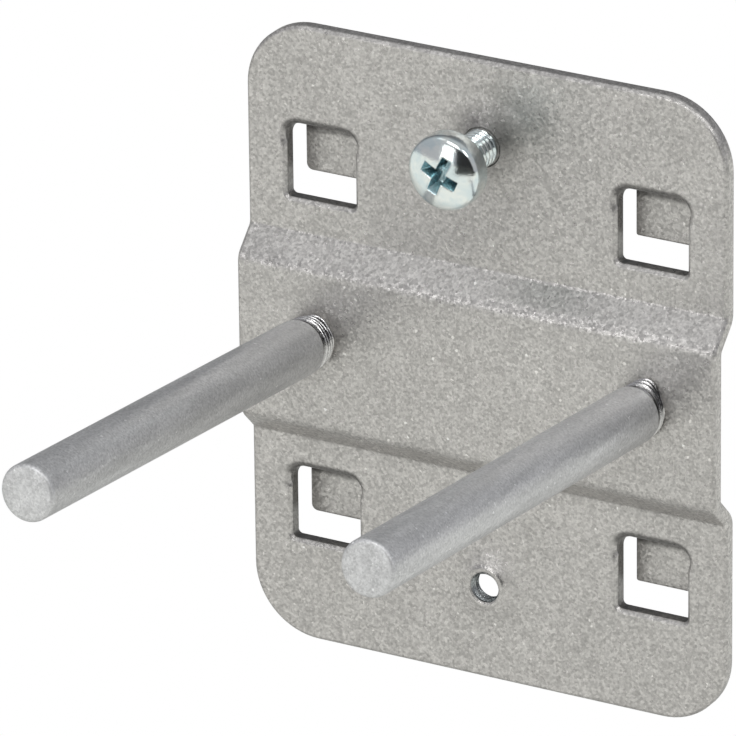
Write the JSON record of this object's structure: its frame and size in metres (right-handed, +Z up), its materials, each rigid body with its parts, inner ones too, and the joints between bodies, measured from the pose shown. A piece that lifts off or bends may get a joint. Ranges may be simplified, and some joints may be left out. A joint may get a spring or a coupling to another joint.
{
  "type": "double tool hook",
  "caption": "Stamped plate hook for a perforated panel, with two round pins that hold a tool between them, folded tongues behind and a locking screw.",
  "frame": {"origin": "centre of the plate and of its four tongues, in the plane where the plate's back rests on the panel", "axes": "+X right, +Z up, -Y forwards out of the panel along the pins; +Y points into the panel"},
  "size_m": [0.055, 0.0635, 0.068],
  "materials": {
    "plate_coat": "silver metallic powder coat with fine sparkle",
    "pin_coat": "silver metallic powder coat, smoother and slightly cooler",
    "zinc": "bright blue-white zinc plating"
  },
  "bodies": {
    "holder": {"base_plate": "plate_coat", "left_pin": "pin_coat", "right_pin": "pin_coat"},
    "screw": {"locking_screw": "zinc"}
  },
  "joints": [
    {"name": "screw_feed", "type": "slide", "parent": "holder", "child": "screw", "axis": [0, 1, 0], "range_m": [-0.001, 0.0055]}
  ]
}
